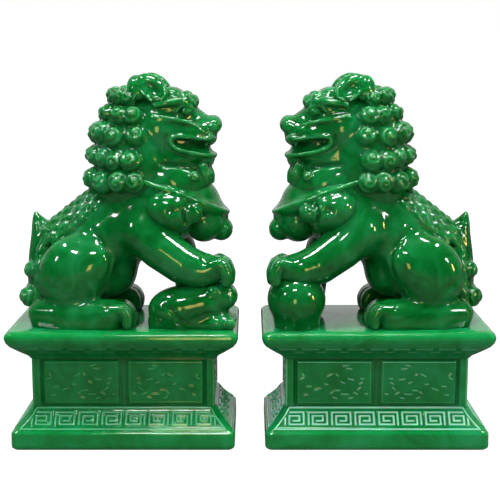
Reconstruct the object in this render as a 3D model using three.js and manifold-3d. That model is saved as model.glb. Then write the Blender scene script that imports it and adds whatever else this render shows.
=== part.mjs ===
// A pair of seated guardian lions (foo dogs), each cast in glossy jade-look resin on its own moulded plinth.
// Both lions sit with the head straight ahead and the near forepaw raised: the left one holds down a cub,
// the right one a ball, and it is the left one's mirror image otherwise.
// Millimetres, +Z up. The pair stands on z = 0, centred on the origin, with its long axis along X, and the
// viewer's side is -Y. Inside a statue, +X is the way that the lion faces.
import * as THREE from "three";
import { mergeVertices } from "three/addons/utils/BufferGeometryUtils.js";
import Module from "manifold-3d";

// Driving dimensions
const spacing = 9.4; // clear gap between the two cornices
const pad = { thickness: 0.8, inset: 4 };
const cornice = { length: 94.6, depth: 56, height: 12.9, lip: 6, corner: 4 };
const foot = { length: 91.6, depth: 52.4, band: 7.4, height: 16.7, corner: 2.5 };
const dado = { length: 75.2, depth: 39, height: 20.2, corner: 1.5 };
const panel = { frame: 4, rail: 2.6, recess: 0.7, divider: 2.8 };
const lionHeight = 102.6; // plinth top to ear tip
const girth = 1; // the lion's width against the drawn one
// The mane's curls: each row's height above the plinth, a curl's radius, and how far it stands out
const curl = { rows: [58.5, 69, 78.8, 87.2, 94.3], radius: 4.4, stand: 0.8 };
const ballRadius = 12;
const clearance = 0.3; // gap between neighbouring sculpted pieces

// The sculpted forms below are drawn for a lion of this height, then scaled to lionHeight.
const drawnHeight = 103.4;
const scale = lionHeight / drawnHeight;
const waistBase = pad.thickness + foot.height;
const corniceBase = waistBase + dado.height;
const plinthTop = corniceBase + cornice.height;

const wasm = await Module();
wasm.setup();

const finish = (name, color, roughness) =>
  new THREE.MeshStandardMaterial({ name, color, roughness, metalness: 0 });
const jade = finish("jade_resin", 0x0f7a33, 0.12);
const paleJade = finish("jade_resin_thin", 0x2a9350, 0.12);
const plinthJade = finish("jade_resin_plinth", 0x12763a, 0.16);
const felt = finish("felt", 0x14301f, 0.95);

// ---- Solids ---------------------------------------------------------------------------------------------

// A three.js geometry as a manifold-3d solid: vertices merged, collapsed triangles dropped.
function solid(geometry) {
  const bare = geometry.clone();
  for (const name of ["normal", "uv"]) bare.deleteAttribute(name);
  const merged = mergeVertices(bare, 1e-4);
  const index = merged.index.array;
  const triangles = [];
  for (let i = 0; i < index.length; i += 3) {
    const [a, b, c] = [index[i], index[i + 1], index[i + 2]];
    if (a !== b && b !== c && c !== a) triangles.push(a, b, c);
  }
  const made = new wasm.Manifold(
    new wasm.Mesh({
      numProp: 3,
      vertProperties: merged.attributes.position.array,
      triVerts: new Uint32Array(triangles),
    }),
  );
  return made;
}

const join = (parts) => parts.reduce((whole, part) => whole.add(part));
const cutFrom = (whole, cutters) => cutters.reduce((left, cutter) => left.subtract(cutter), whole);

// The biggest of the bodies that a cut leaves.
const largest = (cut) => cut.decompose().sort((a, b) => b.volume() - a.volume())[0];

function meshOf(name, made, material) {
  const { vertProperties, triVerts } = made.getMesh();
  const geometry = new THREE.BufferGeometry()
    .setAttribute("position", new THREE.BufferAttribute(vertProperties, 3))
    .setIndex(new THREE.BufferAttribute(triVerts, 1));
  geometry.computeVertexNormals();
  const mesh = new THREE.Mesh(geometry, material);
  mesh.name = name;
  return mesh;
}

// An ellipsoid with radii [x, y, z], tilted nose-up about Y by tilt degrees.
function ellipsoid([x, y, z], radii, grow = 0, { tilt = 0, sides = 9, rings = 6 } = {}) {
  const geometry = new THREE.SphereGeometry(1, sides, rings)
    .rotateX(Math.PI / 2)
    .scale(...radii.map((radius) => radius + grow))
    .rotateY(-THREE.MathUtils.degToRad(tilt))
    .translate(x, y, z);
  return solid(geometry);
}

// A closed limb through stations [x, y, z, half width along Y, half thickness across]: elliptical rings on
// a Catmull-Rom spine, with domed ends.
function limb(stations, grow = 0, { sides = 9, steps = 1, dome = 0.7 } = {}) {
  const spine = new THREE.CatmullRomCurve3(stations.map(([x, y, z]) => new THREE.Vector3(x, y, z)));
  const girth = new THREE.CatmullRomCurve3(stations.map((s) => new THREE.Vector3(s[3], s[4], 0)));
  const count = (stations.length - 1) * steps;
  const rings = [];
  const ring = (t, shift, shrink) => {
    const tangent = spine.getTangent(t);
    const side = new THREE.Vector3(0, 1, 0).addScaledVector(tangent, -tangent.y).normalize();
    const across = new THREE.Vector3().crossVectors(tangent, side);
    const radii = girth.getPoint(t);
    const reach = dome * Math.min(radii.x, radii.y) + grow;
    const centre = spine.getPoint(t).addScaledVector(tangent, shift * reach);
    rings.push({ centre, side, across, wide: (radii.x + grow) * shrink, thick: (radii.y + grow) * shrink });
  };
  const domeAngles = [45].map(THREE.MathUtils.degToRad);
  ring(0, -1, 0);
  for (const angle of domeAngles) ring(0, -Math.sin(angle), Math.cos(angle));
  for (let i = 0; i <= count; i++) ring(i / count, 0, 1);
  for (const angle of [...domeAngles].reverse()) ring(1, Math.sin(angle), Math.cos(angle));
  ring(1, 1, 0);
  const positions = [];
  for (const { centre, side, across, wide, thick } of rings)
    for (let k = 0; k < sides; k++) {
      const angle = (2 * Math.PI * k) / sides;
      const point = centre
        .clone()
        .addScaledVector(side, wide * Math.cos(angle))
        .addScaledVector(across, thick * Math.sin(angle));
      positions.push(point.x, point.y, point.z);
    }
  const index = [];
  for (let r = 0; r + 1 < rings.length; r++)
    for (let k = 0; k < sides; k++) {
      const [a, b] = [r * sides + k, r * sides + ((k + 1) % sides)];
      index.push(a, b, b + sides, a, b + sides, a + sides);
    }
  const geometry = new THREE.BufferGeometry();
  geometry.setAttribute("position", new THREE.Float32BufferAttribute(positions, 3));
  geometry.setIndex(index);
  const made = solid(geometry);
  return made.volume() < 0 ? solid(geometry.setIndex(index.reverse())) : made;
}

// A rounded rectangle, length along X and depth along Y.
function outline(length, depth, corner) {
  const [x, y, r] = [length / 2, depth / 2, Math.min(corner, length / 2.1, depth / 2.1)];
  const shape = new THREE.Shape();
  shape.moveTo(-x + r, -y);
  shape.lineTo(x - r, -y);
  shape.absarc(x - r, -y + r, r, -Math.PI / 2, 0);
  shape.lineTo(x, y - r);
  shape.absarc(x - r, y - r, r, 0, Math.PI / 2);
  shape.lineTo(-x + r, y);
  shape.absarc(-x + r, y - r, r, Math.PI / 2, Math.PI);
  shape.lineTo(-x, -y + r);
  shape.absarc(-x + r, -y + r, r, Math.PI, 1.5 * Math.PI);
  return shape;
}

// Rounded rectangles stacked as [z, length, depth, corner], skinned into one closed block.
function stack(levels) {
  const rings = levels.map(([z, length, depth, corner]) =>
    outline(length, depth, corner)
      .getPoints(2)
      .slice(0, -1)
      .map((p) => [p.x, p.y, z]),
  );
  const sides = rings[0].length;
  const positions = [[0, 0, levels[0][0]], ...rings.flat(), [0, 0, levels[levels.length - 1][0]]].flat();
  const index = [];
  for (let k = 0; k < sides; k++) {
    const next = (k + 1) % sides;
    index.push(0, 1 + next, 1 + k);
    for (let r = 0; r + 1 < rings.length; r++) {
      const [a, b] = [1 + r * sides + k, 1 + r * sides + next];
      index.push(a, b, b + sides, a, b + sides, a + sides);
    }
    const last = 1 + (rings.length - 1) * sides;
    index.push(last + sides, last + k, last + next);
  }
  const geometry = new THREE.BufferGeometry();
  geometry.setAttribute("position", new THREE.Float32BufferAttribute(positions, 3));
  geometry.setIndex(index);
  return solid(geometry);
}

const block = (x, y, z, [cx, cy, cz]) => solid(new THREE.BoxGeometry(x, y, z).translate(cx, cy, cz));

// ---- Plinth: pad, foot, waist and cornice ---------------------------------------------------------------

const basePad = () => {
  const [length, depth] = [foot.length - 2 * pad.inset, foot.depth - 2 * pad.inset];
  return stack([
    [0, length, depth, foot.corner],
    [pad.thickness, length, depth, foot.corner],
  ]);
};

const plinthFoot = () =>
  stack([
    [pad.thickness, foot.length - 2, foot.depth - 2, foot.corner],
    [pad.thickness + 1, foot.length, foot.depth, foot.corner],
    [pad.thickness + foot.band, foot.length, foot.depth, foot.corner],
    [waistBase, dado.length, dado.depth, dado.corner],
  ]);

// The waist, with two sunk panels on each long side and one on each end.
function plinthWaist() {
  const body = stack([
    [waistBase, dado.length, dado.depth, dado.corner],
    [corniceBase, dado.length, dado.depth, dado.corner],
  ]);
  const middle = waistBase + dado.height / 2;
  const tall = dado.height - 2 * panel.rail;
  const long = (dado.length - 2 * panel.frame - panel.divider) / 2;
  const wide = dado.depth - 2 * panel.frame;
  const shift = (long + panel.divider) / 2;
  const sinks = [];
  for (const side of [-1, 1]) {
    for (const half of [-1, 1])
      sinks.push(block(long, 2 * panel.recess, tall, [half * shift, (side * dado.depth) / 2, middle]));
    sinks.push(block(2 * panel.recess, wide, tall, [(side * dado.length) / 2, 0, middle]));
  }
  return cutFrom(body, sinks);
}

// The flared slab: a cove that swells out to a rounded lip.
function plinthCornice() {
  const cove = cornice.height - cornice.lip;
  const flare = (share) => [
    dado.length + (cornice.length - dado.length) * share,
    dado.depth + (cornice.depth - dado.depth) * share,
    dado.corner + (cornice.corner - dado.corner) * share,
  ];
  const lipBase = corniceBase + cove;
  return stack([
    [corniceBase, ...flare(0)],
    [corniceBase + 0.15 * cove, ...flare(0.18)],
    [corniceBase + 0.6 * cove, ...flare(0.6)],
    [lipBase, ...flare(0.88)],
    [lipBase + 0.4 * cornice.lip, ...flare(1)],
    [plinthTop - 1, ...flare(0.99)],
    [plinthTop, ...flare(0.92)],
  ]);
}

// ---- Lion: drawn from the plinth's top, facing +X, with the viewer's side at -Y ----------------------------
// A form takes a side (-1 viewer's, +1 far) where it has one, and grow, which swells it into a cutter.

const aboveZero = block(400, 400, 200, [0, 0, 100]);

// A paw: a pad with four round toes fanned across its front.
function paw([x, y, z], grow = 0, size = 1) {
  const toes = [-1.5, -0.5, 0.5, 1.5].map((place) =>
    ellipsoid(
      [x + (5.2 - 0.7 * Math.abs(place)) * size, y + 3.5 * place * size, z - 0.4 * size],
      [4 * size, 2.4 * size, 5 * size],
      grow,
      { sides: 6, rings: 4 },
    ),
  );
  return join([ellipsoid([x, y, z], [7.5 * size, 7.4 * size, 6 * size], grow), ...toes]);
}

const shoulder = (side, grow) => ellipsoid([10, side * 12.5, 42], [12.5, 7.5, 13], grow, { tilt: -20 });
const torso = (grow = 0) =>
  join([
    limb(
      [
        [-23, 0, 8, 15, 12],
        [-18, 0, 23, 17, 15],
        [-6, 0, 36, 18, 17],
        [6, 0, 45, 17.5, 18],
        [14, 0, 56, 15, 15],
        [17, 0, 66, 13, 13],
      ],
      grow,
      { sides: 12, dome: 0.8 },
    ),
    ellipsoid([17, 0, 46], [14, 16, 14], grow, { sides: 11, rings: 7 }),
    shoulder(-1, grow),
    shoulder(1, grow),
  ]);

// A hind leg: the big folded thigh, and the long foot lying under it with its paw in front.
const hindLeg = (side, grow = 0) =>
  join([
    ellipsoid([-20.5, side * 15, 22], [15, 9.5, 18.5], grow, { tilt: -22, sides: 11, rings: 8 }),
    limb(
      [
        [-32, side * 15, 5, 7, 6.5],
        [-20, side * 16.5, 5, 6.8, 6],
        [-7, side * 16.5, 5.5, 6.5, 5.5],
      ],
      grow,
    ),
    paw([-3.5, side * 16.5, 6], grow, 0.98),
  ]);

const raisedForeleg = (grow = 0) =>
  join([
    limb(
      [
        [7, -13, 39, 7.5, 12.5],
        [15, -15, 32.5, 7.8, 10.5],
        [23, -16.2, 26.8, 7.5, 8.6],
        [30, -16.5, 24, 7, 7.5],
      ],
      grow,
    ),
    paw([35, -16.5, 23.2], grow, 1.08),
  ]);

const standingForeleg = (grow = 0) =>
  join([
    limb(
      [
        [13, 12, 40, 7.5, 11],
        [21, 14, 28, 7, 8],
        [25, 14.5, 16, 6.3, 6.3],
        [26, 14.5, 7, 6.3, 6],
      ],
      grow,
    ),
    paw([30.5, 14.5, 6], grow, 0.95),
  ]);

// The scarf round the neck: a tilted bib with its knot on the viewer's side and a fold down the chest.
const scarf = (grow = 0) =>
  join([
    ellipsoid([22.5, 0, 53.5], [21, 19, 8], grow, { tilt: -20, sides: 14, rings: 7 }),
    ellipsoid([20, -12.5, 46], [12, 8, 9], grow, { tilt: -25 }),
    ellipsoid([33.5, 2, 43.5], [8.5, 10, 9], grow, { tilt: -20 }),
  ]);
const bell = (grow = 0) => ellipsoid([39.8, 0.5, 37.6], [5, 5.4, 5], grow);

const mouth = () => ellipsoid([33, 0, 73.4], [14.5, 22, 2.6], 0, { tilt: -9 });

const head = (grow = 0) =>
  join([
    ellipsoid([14.5, 0, 82], [16, 15, 15.8], grow, { sides: 12, rings: 8 }),
    ellipsoid([22.5, 0, 88.5], [8, 12, 6.5], grow, { tilt: -20 }),
    limb(
      [
        [17, 0, 77.5, 12.5, 9],
        [27, 0, 77.8, 11.5, 7.5],
        [34, 0, 78, 9.5, 6.4],
      ],
      grow,
      { dome: 0.75 },
    ),
    ellipsoid([36.6, 0, 82], [3.2, 6.5, 3.4], grow, { sides: 8, rings: 5 }),
  ]);

const lowerJaw = (grow = 0) =>
  limb(
    [
      [12, 0, 67.5, 12.5, 7],
      [23, 0, 67.2, 11, 5.4],
      [32, 0, 67.2, 8.6, 4.8],
    ],
    grow,
    { dome: 0.8 },
  );

const ear = (side, grow = 0) =>
  ellipsoid([8.2, side * 10.5, 98], [9.3, 3.2, 5.4], grow, { tilt: -4, sides: 8, rings: 5 });

// Where the mane's curls stand: rows of snail-shell knobs round the back of a tapering mane, from one
// cheek to the other, each row staggered against the one under it.
const maneCore = { centre: [3, 0, 62], radii: [16, 17, 34] };
function curlPlaces() {
  const [[x, y, z], [rx, ry, rz]] = [maneCore.centre, maneCore.radii];
  const places = [];
  for (const up of curl.rows) {
    const ring = Math.sqrt(Math.max(0.12, 1 - ((up - z) / rz) ** 2));
    const [across, along] = [rx * ring + curl.stand, ry * ring + curl.stand];
    const count = Math.max(3, Math.round((196 * Math.PI * along) / 180 / (2 * curl.radius + 0.7)));
    for (let k = 0; k < count; k++) {
      const turn = THREE.MathUtils.degToRad(-98 + (196 * (k + 0.5)) / count);
      places.push([x - across * Math.cos(turn), y + along * Math.sin(turn), up]);
    }
  }
  return places;
}

const mane = (grow = 0) =>
  join([
    ellipsoid(maneCore.centre, maneCore.radii, grow, { sides: 10, rings: 8 }),
    ...curlPlaces().map((place) =>
      ellipsoid(place, [curl.radius, curl.radius, curl.radius], grow, { sides: 5, rings: 4 }),
    ),
  ]).intersect(block(80, 80, 60, [0, 0, 84.6 - grow]));

// The tufts down the back, each a bead on the torso's spine, overlapping like tiles.
const backRidge = (grow = 0) =>
  join(
    [0, 1, 2, 3, 4].map((k) =>
      ellipsoid([-16.2 - 3.3 * k, 0, 52 - 3.6 * k], [3.6, 4.2, 3.2], grow, { tilt: 45, sides: 6, rings: 4 }),
    ),
  );

// The tail: an upright flame with two rolled locks at its root.
const tail = (grow = 0) =>
  join([
    limb(
      [
        [-35.5, 0, 5, 6.5, 5],
        [-37, 0, 18, 7, 5.5],
        [-36.8, 0, 29, 5.5, 5],
        [-38.6, 0, 40.5, 1.8, 1.5],
      ],
      grow,
    ),
    ellipsoid([-39, 0, 20], [4.4, 9, 5], grow),
    ellipsoid([-40, 0, 9.5], [5.6, 10, 6], grow),
  ]);

const ball = (grow = 0) =>
  ellipsoid([33.6, -15.5, ballRadius - 1], [ballRadius, ballRadius, ballRadius], grow, {
    sides: 14,
    rings: 9,
  });

const cub = (grow = 0) =>
  join([
    limb(
      [
        [17.5, -15, 7.8, 8, 8],
        [26, -15, 8.4, 8.4, 8.4],
        [34, -15, 8.4, 8, 8.2],
      ],
      grow,
      { dome: 0.9 },
    ),
    ellipsoid([39.8, -15.5, 9], [6.8, 7.4, 7.8], grow),
  ]);

// ---- Assembly ------------------------------------------------------------------------------------------

// The lion's pieces in order of precedence: each one is cut back by those before it, grown by the clearance.
function lionPieces(held) {
  return [
    held,
    ["torso", torso, jade],
    ["head", (grow) => cutFrom(head(grow), grow ? [] : [mouth()]), jade],
    ["lower_jaw", lowerJaw, jade],
    ["scarf", scarf, jade],
    ["bell", bell, paleJade],
    ["near_ear", (grow) => ear(-1, grow), paleJade],
    ["far_ear", (grow) => ear(1, grow), paleJade],
    ["mane", mane, jade],
    ["raised_foreleg", raisedForeleg, jade],
    ["standing_foreleg", standingForeleg, jade],
    ["near_hind_leg", (grow) => hindLeg(-1, grow), jade],
    ["far_hind_leg", (grow) => hindLeg(1, grow), jade],
    ["tail", tail, paleJade],
    ["back_ridge", backRidge, jade],
  ];
}

const touching = (a, b) => {
  const [p, q] = [a.boundingBox(), b.boundingBox()];
  return [0, 1, 2].every((i) => p.min[i] < q.max[i] && q.min[i] < p.max[i]);
};

// A statue facing +X, its plinth centred on the origin; prefix names its nodes.
function statue(prefix, held) {
  const whole = new THREE.Group();
  const plinth = [
    ["base_pad", basePad(), felt],
    ["plinth_foot", plinthFoot(), plinthJade],
    ["plinth_waist", plinthWaist(), plinthJade],
    ["plinth_cornice", plinthCornice(), plinthJade],
  ];
  for (const [name, made, material] of plinth) whole.add(meshOf(`${prefix}_${name}`, made, material));
  const lion = new THREE.Group();
  lion.position.z = plinthTop;
  lion.scale.set(scale, scale * girth, scale);
  const cutters = [];
  for (const [name, build, material] of lionPieces(held)) {
    const drawn = build(0).intersect(aboveZero);
    const cut = cutFrom(
      drawn,
      cutters.filter((cutter) => touching(cutter, drawn)),
    );
    lion.add(meshOf(`${prefix}_${name}`, largest(cut), material));
    cutters.push(build(clearance));
  }
  whole.add(lion);
  return whole;
}

const cubLion = statue("cub_lion", ["cub", cub, paleJade]);
const ballLion = statue("ball_lion", ["ball", ball, paleJade]);
const apart = (cornice.length + spacing) / 2;
cubLion.position.x = -apart;
ballLion.position.x = apart;
ballLion.scale.x = -1;

const pair = new THREE.Group();
pair.add(cubLion, ballLion);

export default pair;
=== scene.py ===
import math

import bpy
import numpy as np
from mathutils import Matrix, Vector


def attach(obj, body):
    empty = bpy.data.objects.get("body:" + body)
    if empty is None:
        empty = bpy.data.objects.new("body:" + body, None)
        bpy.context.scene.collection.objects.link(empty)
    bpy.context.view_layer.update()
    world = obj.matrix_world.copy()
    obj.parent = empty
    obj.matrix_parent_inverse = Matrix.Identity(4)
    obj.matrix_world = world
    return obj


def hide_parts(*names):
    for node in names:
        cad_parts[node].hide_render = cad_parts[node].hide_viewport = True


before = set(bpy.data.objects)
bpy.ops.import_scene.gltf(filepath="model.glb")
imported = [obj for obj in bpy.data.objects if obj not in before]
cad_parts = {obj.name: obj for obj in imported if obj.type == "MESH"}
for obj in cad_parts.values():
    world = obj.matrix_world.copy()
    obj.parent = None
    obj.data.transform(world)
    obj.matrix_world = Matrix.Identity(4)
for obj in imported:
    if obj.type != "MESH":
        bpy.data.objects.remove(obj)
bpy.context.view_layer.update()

# A pair of seated guardian lions cast in glossy jade-green resin, on fret-banded plinths.

MM = 0.001
HALF_PITCH = 52.0  # mm from the pair's middle to each statue's middle
TOP = 50.6  # mm, height of the plinth's top
STATUES = (("cub_lion", -HALF_PITCH, 1), ("ball_lion", HALF_PITCH, -1))
SET_BACK = 0.75  # mm that the right lion sits farther back on its plinth
LIONS = (("cub_lion", -HALF_PITCH, 1), ("ball_lion", HALF_PITCH + SET_BACK, -1))
rng = np.random.default_rng(8)


# ---- Jade-look resin -------------------------------------------------------------------------------------
# Clear polyester resin tinted green and poured over a paler swirl, so it is cloudy inside and faintly
# translucent. Its bulging edges are painted paler, as painted light for the glow through thin resin and for
# glints, and its creases darker, as painted shade. The cast is lacquered to a wet gloss.

# Painted light: bulges past these values are tinted paler, standing in for glow through thin resin and for
# glints.
PAINTED_LIGHT_FROM, PAINTED_LIGHT_FULL = 0.45, 1.35  # 1/mm of bulge where the resin starts to look paler, and is palest


# thin is the tint of the painted light on bulging edges, and rim is its strength.
def resin(name, deep, body, milky, cloud, thin, rim, gloss=0.085):
    """Tinted cast resin: three greens mixed by two sizes of soft cloud in object space, with painted light
    (a paler tint) along bulging edges and painted shade (a deeper green) in the creases, with light
    scattering a few millimetres inside, under a faintly rippled lacquer."""
    mat = bpy.data.materials.new(name)
    mat.use_nodes = True
    tree = mat.node_tree
    nodes, links = tree.nodes, tree.links
    bsdf = nodes["Principled BSDF"]
    place = nodes.new("ShaderNodeTexCoord")

    def noise(scale, detail, twist):
        made = nodes.new("ShaderNodeTexNoise")
        made.inputs["Scale"].default_value = scale
        made.inputs["Detail"].default_value = detail
        made.inputs["Distortion"].default_value = twist
        links.new(place.outputs["Object"], made.inputs["Vector"])
        return made.outputs["Fac"]

    mix = nodes.new("ShaderNodeMix")
    mix.inputs["Factor"].default_value = 0.4
    links.new(noise(cloud, 3.0, 1.4), mix.inputs["A"])
    links.new(noise(3.2 * cloud, 4.0, 2.2), mix.inputs["B"])
    ramp = nodes.new("ShaderNodeValToRGB")
    stops = ramp.color_ramp.elements
    stops[0].position, stops[0].color = 0.33, (*deep, 1)
    stops[1].position, stops[1].color = 0.72, (*milky, 1)
    stops.new(0.5).color = (*body, 1)
    links.new(mix.outputs["Result"], ramp.inputs["Fac"])
    edge = nodes.new("ShaderNodeAttribute")
    edge.attribute_name = "edge"
    colour = ramp.outputs["Color"]
    # Painted light and shade from the 'edge' attribute: bulges are mixed towards the pale tint, and creases
    # towards a dark green.
    for start, end, most, tint in ((PAINTED_LIGHT_FROM, PAINTED_LIGHT_FULL, rim, thin),
                                   (-0.15, -1.1, 0.4, (0.0002, 0.050, 0.005))):
        how_much = nodes.new("ShaderNodeMapRange")
        how_much.inputs["From Min"].default_value = start
        how_much.inputs["From Max"].default_value = end
        how_much.inputs["To Max"].default_value = most
        over = nodes.new("ShaderNodeMix")
        over.data_type = "RGBA"
        over.inputs[7].default_value = (*tint, 1)
        links.new(edge.outputs["Fac"], how_much.inputs["Value"])
        links.new(how_much.outputs[0], over.inputs[0])
        links.new(colour, over.inputs[6])
        colour = over.outputs[2]
    links.new(colour, bsdf.inputs["Base Color"])
    bump = nodes.new("ShaderNodeBump")
    bump.inputs["Strength"].default_value = 0.12
    bump.inputs["Distance"].default_value = 0.0006
    links.new(noise(170.0, 2.0, 0.0), bump.inputs["Height"])
    links.new(bump.outputs["Normal"], bsdf.inputs["Normal"])
    bsdf.inputs["Roughness"].default_value = gloss
    bsdf.inputs["IOR"].default_value = 1.47
    bsdf.inputs["Subsurface Weight"].default_value = 0.9
    bsdf.inputs["Subsurface Radius"].default_value = (0.10, 1.0, 0.35)
    bsdf.inputs["Subsurface Scale"].default_value = 0.007
    return mat


# The last colour and number given to each resin are the tint and strength of its painted edge light.
JADE = resin("jade_resin", (0.0002, 0.058, 0.005), (0.002, 0.106, 0.018), (0.010, 0.172, 0.058), 24.0,
             (0.05, 0.30, 0.14), 0.16)
PLINTH_JADE = resin("plinth_jade_resin", (0.0002, 0.082, 0.010), (0.002, 0.128, 0.026),
                    (0.008, 0.180, 0.062), 18.0, (0.34, 0.66, 0.54), 0.6)
# A lighter copy of the plinth resin for the cornice and foot: painted light, for the light from above and
# in front that falls on them.
LIT_PLINTH_JADE = resin("plinth_jade_resin_painted_lighter", (0.0003, 0.105, 0.015), (0.003, 0.165, 0.038),
                 (0.012, 0.225, 0.088), 18.0, (0.34, 0.66, 0.54), 0.6)


# ---- Lion's body -----------------------------------------------------------------------------------------
# Haunches, belly, chest and four legs, modelled in clay and cast in one: the thighs fold over long flat
# feet, the far foreleg stands and the near one reaches out. Locks run down the spine to a flame tail.

class Clay:
    """A block of clay as a 3-D grid of distances in mm to its surface, negative inside. Forms are pressed
    on and cut away with a soft seam: where two distances differ by less than soft, the nearer one is moved
    by (soft - difference)^2 / (4 soft)."""

    def __init__(self, low, high, step):
        self.step = step
        self.axes = [np.arange(a, b + step, step) for a, b in zip(low, high)]
        self.value = np.full([len(a) for a in self.axes], 12.0, dtype=np.float32)

    def part(self, low, high):
        cut = []
        for a, b, axis in zip(low, high, self.axes):
            first = int((a - axis[0]) / self.step) - 1
            last = int((b - axis[0]) / self.step) + 2
            cut.append(slice(max(first, 0), max(min(last, len(axis)), 1)))
        cut = tuple(cut)
        return cut, np.ix_(*[axis[c].astype(np.float32) for axis, c in zip(self.axes, cut)])

    def add(self, shape, soft=2.0):
        form, low, high = shape
        reach = soft + 1.5
        cut, (x, y, z) = self.part(np.subtract(low, reach), np.add(high, reach))
        old, new = self.value[cut], form(x, y, z)
        blend = np.maximum(soft - np.abs(old - new), 0)
        self.value[cut] = np.minimum(old, new) - blend**2 / (4 * soft)

    def cut(self, shape, soft=1.0):
        form, low, high = shape
        reach = soft + 1.5
        cut, (x, y, z) = self.part(np.subtract(low, reach), np.add(high, reach))
        old, new = self.value[cut], -form(x, y, z)
        blend = np.maximum(soft - np.abs(old - new), 0)
        self.value[cut] = np.maximum(old, new) + blend**2 / (4 * soft)


def egg(centre, radii, pitch=0.0, yaw=0.0, roll=0.0):
    """An ellipsoid, turned nose-up by pitch about Y, then about Z and X, in degrees. Its distance is taken
    as k (k - 1) / g, with k the length of p / radii and g that of p / radii squared."""
    turn = (Matrix.Rotation(math.radians(yaw), 3, "Z") @ Matrix.Rotation(-math.radians(pitch), 3, "Y")
            @ Matrix.Rotation(math.radians(roll), 3, "X"))
    turn = np.array(turn)
    centre, radii = np.array(centre, float), np.array(radii, float)
    reach = np.sqrt(((turn * radii) ** 2).sum(axis=1))

    def form(x, y, z):
        dx, dy, dz = x - centre[0], y - centre[1], z - centre[2]
        k = g = 0.0
        for i in range(3):
            q = (turn[0, i] * dx + turn[1, i] * dy + turn[2, i] * dz) / radii[i]
            k = k + q**2
            g = g + (q / radii[i]) ** 2
        k = np.sqrt(k)
        return k * (k - 1) / np.sqrt(g + 1e-9)

    return form, centre - reach, centre + reach


def limb(points, wide=1.0):
    """A limb through points (x, y, z, radius): the nearest of the round cones between neighbours. Its Y is
    stretched by wide about each cone's own middle."""
    points = np.array(points, float)

    def form(x, y, z):
        best = None
        for a, b in zip(points[:-1], points[1:]):
            ax = b[:3] - a[:3]
            ax_w = ax / (1, wide, 1)
            px, py, pz = x - a[0], (y - a[1]) / wide, z - a[2]
            t = np.clip((px * ax_w[0] + py * ax_w[1] + pz * ax_w[2]) / (ax_w @ ax_w + 1e-9), 0, 1)
            gap = np.sqrt((px - t * ax_w[0])**2 + (py - t * ax_w[1])**2 + (pz - t * ax_w[2])**2)
            gap = gap - (a[3] + t * (b[3] - a[3]))
            best = gap if best is None else np.minimum(best, gap)
        return best

    radii = points[:, 3:4] * (1, max(wide, 1), 1)
    return form, (points[:, :3] - radii).min(axis=0), (points[:, :3] + radii).max(axis=0)


def curve(points, count=24):
    """Points (x, y, z, radius) run through by a Catmull-Rom curve, resampled to count."""
    points = np.array(points, float)
    ends = np.vstack([2 * points[0] - points[1], points, 2 * points[-1] - points[-2]])
    t = np.linspace(0, len(points) - 1 - 1e-6, count)
    i, f = t.astype(int), (t % 1)[:, None]
    a, b, c, d = ends[i], ends[i + 1], ends[i + 2], ends[i + 3]
    return 0.5 * (2 * b + (c - a) * f + (2 * a - 5 * b + 4 * c - d) * f**2 + (3 * b - a - 3 * c + d) * f**3)


def stroke(clay, points, soft=0.8, groove=False, count=18):
    """A bead laid, or a groove drawn, along a smooth curve: one thin limb with a cone for each step."""
    piece = limb(curve(points, count))
    clay.cut(piece, soft) if groove else clay.add(piece, soft)


def flip(points, side):
    """Points for the far side (side 1) or, mirrored in Y, for the near side (side -1)."""
    return [(p[0], side * p[1], *p[2:]) for p in points]


def snail(centre, out, radius, pitch=2.3, depth=0.55, hand=1, start=0.0):
    """A snail-shell curl: a ball whose outer face carries a spiral furrow, deepest where the distance from
    the ball's axis over pitch, less the angle round it over a full turn, less start, is a whole number."""
    centre, out = np.array(centre, float), np.array(out, float)
    out = out / np.linalg.norm(out)
    u = np.cross(out, (0, 0, 1.0))
    u = u / np.linalg.norm(u)
    v = np.cross(out, u)

    def form(x, y, z):
        dx, dy, dz = x - centre[0], y - centre[1], z - centre[2]
        far = np.sqrt(dx**2 + dy**2 + dz**2)
        up = dx * out[0] + dy * out[1] + dz * out[2]
        pu = dx * u[0] + dy * u[1] + dz * u[2]
        pv = dx * v[0] + dy * v[1] + dz * v[2]
        wide = np.sqrt(pu**2 + pv**2)
        wave = np.cos(2 * np.pi * (wide / pitch - hand * np.arctan2(pv, pu) / (2 * np.pi) - start))
        shown = np.clip(up / radius * 2, 0, 1) * np.clip(wide / 0.9, 0, 1)
        return far - radius + depth * (0.5 - 0.5 * wave) * shown

    return form, centre - radius, centre + radius


def paw(clay, at, size=1.0, lift=0.0):
    """A lion's paw: a broad pad with four soft knuckled toes fanned across its front."""
    x, y, z = at
    clay.add(egg((x - 1, y, z), (7.2 * size, 7.0 * size, 5.6 * size)), 2.0)
    for k in (-1.5, -0.5, 0.5, 1.5):
        fan = 3.45 * k * size
        back = 0.75 * abs(k) ** 1.5 * size
        toe = [(x + 1 - back, y + 0.85 * fan, z + 1.6 * size, 2.5 * size),
               (x + 5.2 * size - back, y + fan, z + (2.0 + lift) * size, 2.5 * size),
               (x + 7.3 * size - back, y + 1.03 * fan, z - 0.8 * size, 2.4 * size),
               (x + 7.4 * size - back, y + 1.03 * fan, z - 3.6 * size, 2.2 * size)]
        clay.add(limb(curve(toe, 8)), 1.3)


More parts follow.
